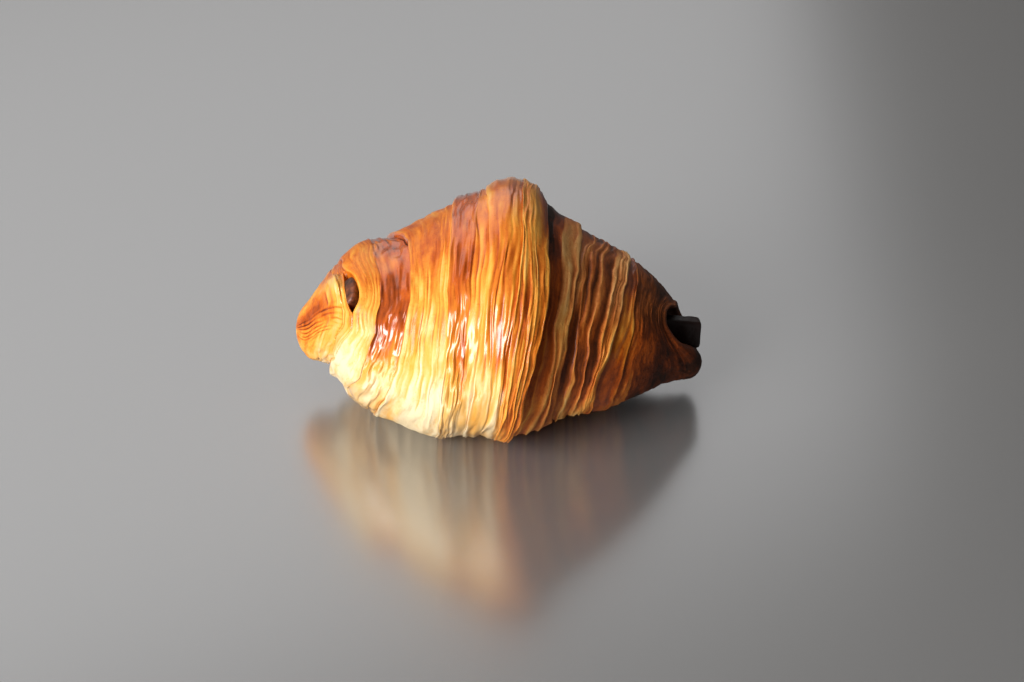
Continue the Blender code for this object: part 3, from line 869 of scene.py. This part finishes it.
def added(nodes, links, value, wobble, amount):
    """The value, plus or minus up to half the amount as the wobble goes from 0 to 1."""
    scaled = nodes.new("ShaderNodeMath")
    scaled.operation = "MULTIPLY_ADD"
    scaled.inputs[1].default_value = amount
    scaled.inputs[2].default_value = -amount / 2
    links.new(wobble, scaled.inputs[0])
    total = nodes.new("ShaderNodeMath")
    links.new(value, total.inputs[0])
    links.new(scaled.outputs[0], total.inputs[1])
    return total.outputs[0]


def ranged(nodes, links, value, low, high, first, last):
    """The value, with its range from low to high turned into one from first to last."""
    node = nodes.new("ShaderNodeMapRange")
    for name, number in zip(("From Min", "From Max", "To Min", "To Max"), (low, high, first, last)):
        node.inputs[name].default_value = number
    links.new(value, node.inputs["Value"])
    return node.outputs["Result"]


def stored(nodes, name):
    """A value that is stored with the mesh's points."""
    node = nodes.new("ShaderNodeAttribute")
    node.attribute_name = name
    return node.outputs["Fac"]


def coloured(nodes, links, value, stops):
    node = nodes.new("ShaderNodeValToRGB")
    fill_ramp(node, stops)
    links.new(value, node.inputs["Fac"])
    return node.outputs["Color"]


def bumped(nodes, links, height, distance):
    """A bump of so many millimetres, which is also the shader's."""
    node = nodes.new("ShaderNodeBump")
    node.inputs["Distance"].default_value = distance * MM
    links.new(height, node.inputs["Height"])
    links.new(node.outputs["Normal"], nodes["Principled BSDF"].inputs["Normal"])
    return node


def chocolate_material():
    material, nodes, links = new_material("dark_chocolate")
    shader = nodes["Principled BSDF"]
    place = nodes.new("ShaderNodeTexCoord").outputs["Object"]
    # Blotches in the painted light on the chocolate's end.
    blotches = noise_node(nodes, links, place, CHOCOLATE_BLOTCHES, 3.0, 0.6)
    spread = ranged(nodes, links, blotches, 0.36, 0.62, 0.1, 1.0)
    blotched = nodes.new("ShaderNodeMath")
    blotched.operation = "MULTIPLY"
    links.new(stored(nodes, "chocolate_painted_light"), blotched.inputs[0])
    links.new(spread, blotched.inputs[1])
    colour = coloured(nodes, links, blotched.outputs[0], CHOCOLATE_COLOURS)
    links.new(colour, shader.inputs["Base Color"])
    shader.inputs["Roughness"].default_value = 0.42
    grain = noise_node(nodes, links, place, CHOCOLATE_GRAIN, 3.0, 0.6)
    bumped(nodes, links, grain, CHOCOLATE_BUMP)
    return material


def crust_colour(nodes, links, streaks, grain, place, gloss):
    """The colour of the crust: as baked as its place is, less even where it's dull, and with dark specks."""
    patches = noise_node(nodes, links, place, PATCHES, 3.0, 0.6)
    uneven = added(nodes, links, streaks, grain, 0.45)
    uneven = added(nodes, links, uneven, patches, 0.75)
    calmer = ranged(nodes, links, gloss, 0.0, 1.0, 0.26, 0.12)
    centred = nodes.new("ShaderNodeMath")
    centred.operation = "MULTIPLY_ADD"
    centred.inputs[1].default_value = -0.5
    links.new(calmer, centred.inputs[0])
    links.new(stored(nodes, "bake_and_painted_light"), centred.inputs[2])
    patchy = nodes.new("ShaderNodeMath")
    patchy.operation = "MULTIPLY_ADD"
    links.new(uneven, patchy.inputs[0])
    links.new(calmer, patchy.inputs[1])
    links.new(centred.outputs[0], patchy.inputs[2])
    specks = noise_node(nodes, links, place, SPECKS, 1.0, 0.5)
    speckled = nodes.new("ShaderNodeMath")
    links.new(patchy.outputs[0], speckled.inputs[0])
    links.new(ranged(nodes, links, specks, 0.64, 0.76, 0.0, 0.10), speckled.inputs[1])
    mixed = nodes.new("ShaderNodeMix")
    mixed.data_type = "RGBA"
    links.new(stored(nodes, "dry"), mixed.inputs["Factor"])
    links.new(coloured(nodes, links, speckled.outputs[0], CRUST_COLOURS), mixed.inputs["A"])
    links.new(coloured(nodes, links, speckled.outputs[0], DRY_COLOURS), mixed.inputs["B"])
    return mixed.outputs["Result"]


def pastry_material():
    material, nodes, links = new_material("baked_pastry")
    shader = nodes["Principled BSDF"]
    place = nodes.new("ShaderNodeTexCoord").outputs["Object"]
    gloss = stored(nodes, "gloss")
    uv = nodes.new("ShaderNodeUVMap")
    uv.uv_map = "OFBake"
    stretch = nodes.new("ShaderNodeMapping")
    stretch.inputs["Scale"].default_value = (STREAKS_ALONG, STREAKS_ROUND, 1)
    links.new(uv.outputs["UV"], stretch.inputs["Vector"])
    streaks = noise_node(nodes, links, stretch.outputs["Vector"], 1.0, 3.0, 0.65)
    grain = noise_node(nodes, links, place, GRAIN, 2.0, 0.6)
    colour = crust_colour(nodes, links, streaks, grain, place, gloss)
    links.new(colour, shader.inputs["Base Color"])

    blisters = nodes.new("ShaderNodeTexVoronoi")
    blisters.inputs["Scale"].default_value = BLISTERS
    links.new(place, blisters.inputs["Vector"])
    domes = nodes.new("ShaderNodeMapRange")
    domes.interpolation_type = "SMOOTHSTEP"
    domes.inputs["From Min"].default_value = 0.34
    domes.inputs["From Max"].default_value = 0.08
    links.new(blisters.outputs["Distance"], domes.inputs["Value"])
    relief = added(nodes, links, streaks, grain, 0.35)
    relief = added(nodes, links, relief, domes.outputs["Result"], 0.6)
    bump = bumped(nodes, links, relief, PASTRY_BUMP)
    links.new(ranged(nodes, links, gloss, 0.0, 1.0, 0.9, 0.22), bump.inputs["Strength"])
    links.new(ranged(nodes, links, gloss, 0.0, 1.0, 0.6, 0.22), shader.inputs["Roughness"])
    links.new(ranged(nodes, links, gloss, 0.2, 1.0, 0.0, 0.8), shader.inputs["Coat Weight"])
    shader.inputs["Specular IOR Level"].default_value = 0.2
    shader.inputs["Coat Roughness"].default_value = 0.19
    shader.inputs["Coat IOR"].default_value = 1.75
    return material


def floor_material():
    material, nodes, _ = new_material("floor")
    shader = nodes["Principled BSDF"]
    shader.inputs["Base Color"].default_value = (FLOOR_GREY, FLOOR_GREY, FLOOR_GREY, 1)
    shader.inputs["Roughness"].default_value = 0.25
    shader.inputs["IOR"].default_value = 4.0
    return material


def placed(name, mesh, material):
    """A new object of the mesh, in the scene."""
    mesh.materials.append(material)
    piece = bpy.data.objects.new(name, mesh)
    bpy.context.scene.collection.objects.link(piece)
    return piece


def lay_floor():
    mesh = bpy.data.meshes.new("floor")
    bm = bmesh.new()
    bmesh.ops.create_grid(bm, x_segments=1, y_segments=1, size=FLOOR_SIZE)
    bm.to_mesh(mesh)
    bm.free()
    return placed("floor", mesh, floor_material())


def light_the_sky():
    """A faint glow all round, brighter on one side."""
    world = bpy.data.worlds.new("studio")
    bpy.context.scene.world = world
    world.use_nodes = True
    nodes, links = world.node_tree.nodes, world.node_tree.links
    background = nodes["Background"]
    background.inputs["Color"].default_value = (1.0, 0.98, 0.95, 1)
    towards = nodes.new("ShaderNodeVectorMath")
    towards.operation = "DOT_PRODUCT"
    towards.inputs[1].default_value = Vector(SKY_BRIGHTEST).normalized()
    links.new(nodes.new("ShaderNodeTexCoord").outputs["Generated"], towards.inputs[0])
    strength = ranged(nodes, links, towards.outputs["Value"], -1.0, 1.0, 0.01, 0.2)
    links.new(strength, background.inputs["Strength"])


def soft_light(name, azimuth, elevation, distance, size, watts, colour, on_matt, on_glossy):
    """A rectangle of light that faces the croissant, as in LIGHTS."""
    light = bpy.data.lights.new(name, "AREA")
    light.shape = "RECTANGLE"
    light.size, light.size_y = size
    light.energy = watts
    light.color = colour
    a, e = math.radians(azimuth), math.radians(elevation)
    lamp = bpy.data.objects.new(name, light)
    lamp.location = distance * Vector((-math.sin(a) * math.cos(e), -math.cos(a) * math.cos(e), math.sin(e)))
    lamp.rotation_euler = (-lamp.location).to_track_quat("-Z", "Y").to_euler()
    lamp.visible_camera = False
    lamp.visible_diffuse = on_matt
    lamp.visible_glossy = on_glossy
    bpy.context.scene.collection.objects.link(lamp)


def set_camera():
    data = bpy.data.cameras.new("camera")
    data.lens = CAMERA_LENS
    data.clip_end = 20
    camera = bpy.data.objects.new("camera", data)
    camera.location = Vector(CAMERA_AT) * MM
    camera.rotation_euler = (math.radians(90 - CAMERA_DOWN), 0, 0)
    bpy.context.scene.collection.objects.link(camera)
    bpy.context.scene.camera = camera
    bpy.context.scene.view_settings.view_transform = "Standard"


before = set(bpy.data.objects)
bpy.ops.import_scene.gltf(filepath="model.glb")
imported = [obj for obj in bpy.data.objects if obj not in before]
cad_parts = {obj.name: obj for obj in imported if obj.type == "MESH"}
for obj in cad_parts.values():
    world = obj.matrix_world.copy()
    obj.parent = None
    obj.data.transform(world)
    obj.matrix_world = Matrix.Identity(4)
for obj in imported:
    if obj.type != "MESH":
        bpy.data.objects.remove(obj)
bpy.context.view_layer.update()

turn = columns()
rings = Rings()
points, paler = outside(rings, turn)
bake_and_painted_light = baking_and_painted_light(rings, turn, paler)
gloss, dry = glaze(rings, turn)
points = with_mouth(points, turn)
# The skin is centred over the place of its solid, and stands on the same level.
low, high = points.reshape(-1, 3).min(0), points.reshape(-1, 3).max(0)
cad_low, cad_high = (np.array(corner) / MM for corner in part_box("pastry"))
centre = (low + high) / 2 - (cad_low + cad_high) / 2
centre[2] = 0
mesh = closed_mesh("pastry_skin", flattened(points) - centre, turn)
# Inside the mouth's hollow the colour turns to painted shade.
give(mesh, "bake_and_painted_light", carried_inside(bake_and_painted_light, HOLLOW_PAINTED_SHADE))
give(mesh, "gloss", carried_inside(gloss, HOLLOW_GLOSSY))
give(mesh, "dry", carried_inside(dry, HOLLOW_DRY))
pastry = placed("pastry_skin", mesh, pastry_material())
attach(pastry, "root")
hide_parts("pastry")

bar_turns = np.arange(BAR_COLUMNS) * math.tau / BAR_COLUMNS
bar_points, chocolate_painted_light = chocolate(bar_turns)
bar_mesh = closed_mesh("chocolate", bar_points - centre, bar_turns)
give(bar_mesh, "chocolate_painted_light", chocolate_painted_light)
bar = placed("chocolate", bar_mesh, chocolate_material())
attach(bar, "root")
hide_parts("chocolate_bar")

lay_floor()
light_the_sky()
for light in LIGHTS:
    soft_light(*light)
set_camera()
